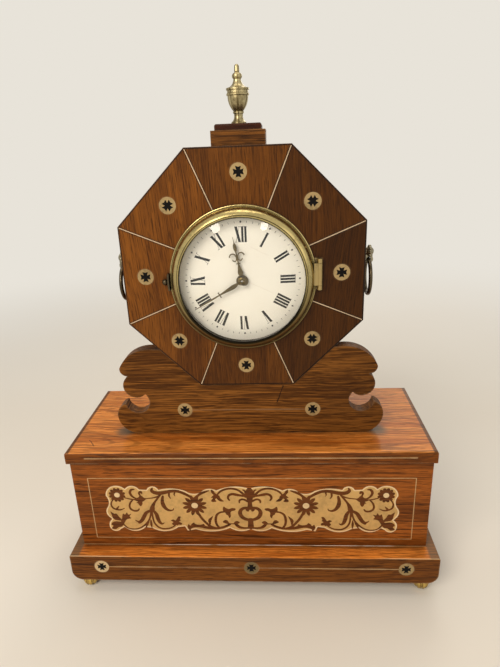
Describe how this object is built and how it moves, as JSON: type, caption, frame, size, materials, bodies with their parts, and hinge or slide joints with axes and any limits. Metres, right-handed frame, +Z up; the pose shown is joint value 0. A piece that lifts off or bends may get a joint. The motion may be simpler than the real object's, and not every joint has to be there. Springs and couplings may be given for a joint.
{
  "type": "mantel clock",
  "caption": "Octagonal wooden mantel timepiece on a scrolled saddle and inlaid box base, with a hinged glazed bezel, enamel dial, turning hands, ring handles and a rear-wound pendulum movement.",
  "frame": {"origin": "on the ground under the middle of the plinth", "axes": "+Z up, +X to the viewer's right, the dial faces -Y"},
  "size_m": [0.34, 0.138, 0.4555],
  "materials": {
    "case_rosewood": "french polish",
    "base_rosewood": "french polish",
    "saddle_rosewood": "french polish",
    "carcass_wood": "plain",
    "inlay_brass": "dull",
    "ebony": "polished",
    "gilt_brass": "gilt",
    "bezel_brass": "polished",
    "dark_bronze": "darkened",
    "clear_glass": "clear",
    "white_enamel": "glazed",
    "hand_gilt": "gilt, darkened",
    "movement_brass": "brushed",
    "polished_steel": "polished",
    "blue_spring_steel": "blued"
  },
  "bodies": {
    "case": {"case_front": "case_rosewood", "case_hoop": "case_rosewood", "cap_block": "case_rosewood", "cap_slab": "case_rosewood", "plinth_rails": "base_rosewood", "box_front": "base_rosewood", "box_back": "base_rosewood", "box_sides": "base_rosewood", "lid_board": "base_rosewood", "saddle_front": "saddle_rosewood", "plinth_bottom": "carcass_wood", "saddle_block": "carcass_wood", "base_strings": "inlay_brass", "case_strings": "inlay_brass", "inlay_roundels": "inlay_brass", "box_inlay": "inlay_brass", "inlay_crosses": "ebony", "feet": "gilt_brass", "finial": "gilt_brass", "fixed_hinge_leaves": "bezel_brass", "handle_bosses": "dark_bronze", "dial": "white_enamel", "dial_plate": "movement_brass", "dial_pillars": "movement_brass", "front_plate": "movement_brass", "back_plate": "movement_brass", "plate_pillars": "movement_brass", "back_cock": "movement_brass", "hinge_pins": "polished_steel"},
    "bezel": {"bezel_ring": "bezel_brass", "bezel_glass": "clear_glass", "glass_retainer": "bezel_brass", "bezel_thumb_piece": "dark_bronze", "bezel_hinge_leaf": "bezel_brass"},
    "rear_door": {"back_door": "case_rosewood", "door_glass": "clear_glass", "door_knob": "bezel_brass", "door_hinge_leaf": "bezel_brass"},
    "ring_left": {"handle_ring_left": "dark_bronze"},
    "ring_right": {"handle_ring_right": "dark_bronze"},
    "minute_works": {"minute_hand": "hand_gilt", "hand_collet": "hand_gilt", "cannon_pinion": "polished_steel"},
    "motion_wheel": {"minute_wheel": "movement_brass"},
    "hour_works": {"hour_hand": "hand_gilt", "hour_wheel": "movement_brass"},
    "centre_works": {"centre_arbor": "polished_steel", "centre_wheel": "movement_brass"},
    "third_works": {"third_arbor": "polished_steel", "third_wheel": "movement_brass"},
    "escape_works": {"escape_arbor": "polished_steel", "escape_wheel": "movement_brass"},
    "going_barrel": {"barrel": "movement_brass", "mainspring": "blue_spring_steel"},
    "winding_works": {"barrel_arbor": "polished_steel", "ratchet_wheel": "polished_steel"},
    "click_lever": {"click": "polished_steel"},
    "pendulum": {"anchor": "polished_steel", "pendulum_rod": "polished_steel", "pendulum_bob": "movement_brass"}
  },
  "joints": [
    {"name": "bezel_hinge", "type": "hinge", "parent": "case", "child": "bezel", "pos_m": [0.0634, -0.0259, 0.295], "axis": [0, 0, 1], "range_deg": [0, 110]},
    {"name": "rear_door_hinge", "type": "hinge", "parent": "case", "child": "rear_door", "pos_m": [0.0912, 0.0389, 0.2955], "axis": [0, 0, -1], "range_deg": [0, 110]},
    {"name": "left_ring_swing", "type": "hinge", "parent": "case", "child": "ring_left", "pos_m": [-0.1077, 0.0065, 0.2998], "axis": [0, 1, 0], "range_deg": [0, 90]},
    {"name": "right_ring_swing", "type": "hinge", "parent": "case", "child": "ring_right", "pos_m": [0.1077, 0.0065, 0.2998], "axis": [0, -1, 0], "range_deg": [0, 90]},
    {"name": "minute_hand_turn", "type": "hinge", "parent": "case", "child": "minute_works", "pos_m": [0, -0.0235, 0.2915], "axis": [0, 1, 0], "continuous": true},
    {"name": "minute_wheel_turn", "type": "hinge", "parent": "case", "child": "motion_wheel", "pos_m": [0.01039, -0.0235, 0.2855], "axis": [0, 1, 0], "continuous": true},
    {"name": "hour_hand_turn", "type": "hinge", "parent": "case", "child": "hour_works", "pos_m": [0, -0.0235, 0.2915], "axis": [0, 1, 0], "continuous": true},
    {"name": "third_wheel_turn", "type": "hinge", "parent": "case", "child": "third_works", "pos_m": [0.01215, -0.0235, 0.30598], "axis": [0, 1, 0], "continuous": true},
    {"name": "centre_wheel_turn", "type": "hinge", "parent": "case", "child": "centre_works", "pos_m": [0, -0.0235, 0.2915], "axis": [0, 1, 0], "continuous": true},
    {"name": "escape_wheel_turn", "type": "hinge", "parent": "case", "child": "escape_works", "pos_m": [0, -0.0235, 0.31633], "axis": [0, 1, 0], "continuous": true},
    {"name": "barrel_turn", "type": "hinge", "parent": "case", "child": "going_barrel", "pos_m": [-0.01966, -0.0235, 0.27773], "axis": [0, 1, 0], "continuous": true},
    {"name": "winding_turn", "type": "hinge", "parent": "case", "child": "winding_works", "pos_m": [-0.01966, -0.0235, 0.27773], "axis": [0, 1, 0], "continuous": true},
    {"name": "click_lift", "type": "hinge", "parent": "case", "child": "click_lever", "pos_m": [-0.00816, -0.0235, 0.28573], "axis": [0, 1, 0], "range_deg": [0, 14]},
    {"name": "pendulum_swing", "type": "hinge", "parent": "case", "child": "pendulum", "pos_m": [0, -0.0235, 0.32953], "axis": [0, 1, 0], "range_deg": [-3.5, 3.5]}
  ],
  "couplings": [
    {"joint": "minute_wheel_turn", "follows": "minute_hand_turn", "ratio": -0.33333},
    {"joint": "hour_hand_turn", "follows": "minute_hand_turn", "ratio": 0.083333},
    {"joint": "centre_wheel_turn", "follows": "third_wheel_turn", "ratio": -0.071429},
    {"joint": "barrel_turn", "follows": "third_wheel_turn", "ratio": 0.010204},
    {"joint": "escape_wheel_turn", "follows": "third_wheel_turn", "ratio": -13}
  ]
}
